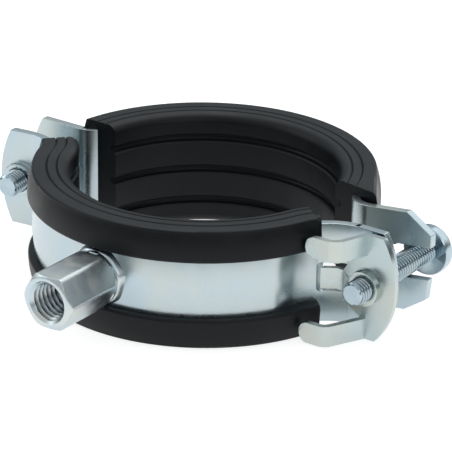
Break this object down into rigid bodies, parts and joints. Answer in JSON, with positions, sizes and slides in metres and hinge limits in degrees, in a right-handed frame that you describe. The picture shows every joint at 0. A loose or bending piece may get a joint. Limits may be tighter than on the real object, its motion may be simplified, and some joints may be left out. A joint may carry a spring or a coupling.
{
  "type": "rubber lined pipe clamp",
  "caption": "Two-piece steel pipe clamp with grooved rubber lining, welded hexagonal connection nut, a pivot screw on one ear and a swing-out locking plate and screw on the other.",
  "frame": {"origin": "on the pipe's axis, at the middle of the clamp's width", "axes": "+Z along the pipe; the connection nut points along -Y and the two pairs of ears lie along -X and +X"},
  "size_m": [0.1222, 0.1049, 0.03],
  "materials": {
    "zinc_band": "bright zinc plated",
    "rubber_lining": "moulded black rubber",
    "zinc_nut": "bright zinc plated",
    "zinc_screw": "blue zinc plated",
    "zinc_plate": "satin zinc plated"
  },
  "bodies": {
    "front_half": {"front_half_band": "zinc_band", "front_rubber_lining": "rubber_lining", "connection_nut": "zinc_nut"},
    "rear_half": {"rear_half_band": "zinc_band", "rear_rubber_lining": "rubber_lining"},
    "pivot_screw": {"left_screw": "zinc_screw"},
    "locking_plate": {"locking_plate": "zinc_plate"},
    "locking_screw": {"right_screw": "zinc_screw"}
  },
  "joints": [
    {"name": "rear_half_swing", "type": "hinge", "parent": "front_half", "child": "rear_half", "pos_m": [-0.0546, 0.005, 0], "axis": [0, 0, 1], "range_deg": [-3, 2.5]},
    {"name": "locking_plate_swing", "type": "hinge", "parent": "front_half", "child": "locking_plate", "pos_m": [0.0411, -0.0162, 0], "axis": [0, 0, -1], "range_deg": [0, 35]},
    {"name": "locking_screw_turn", "type": "hinge", "parent": "locking_plate", "child": "locking_screw", "pos_m": [0.0525, -0.013, -0.0011], "axis": [0, 1, 0], "continuous": true},
    {"name": "pivot_screw_turn", "type": "hinge", "parent": "front_half", "child": "pivot_screw", "pos_m": [-0.0546, 0.005, 0], "axis": [-0.1392, 0.9903, 0], "continuous": true}
  ]
}
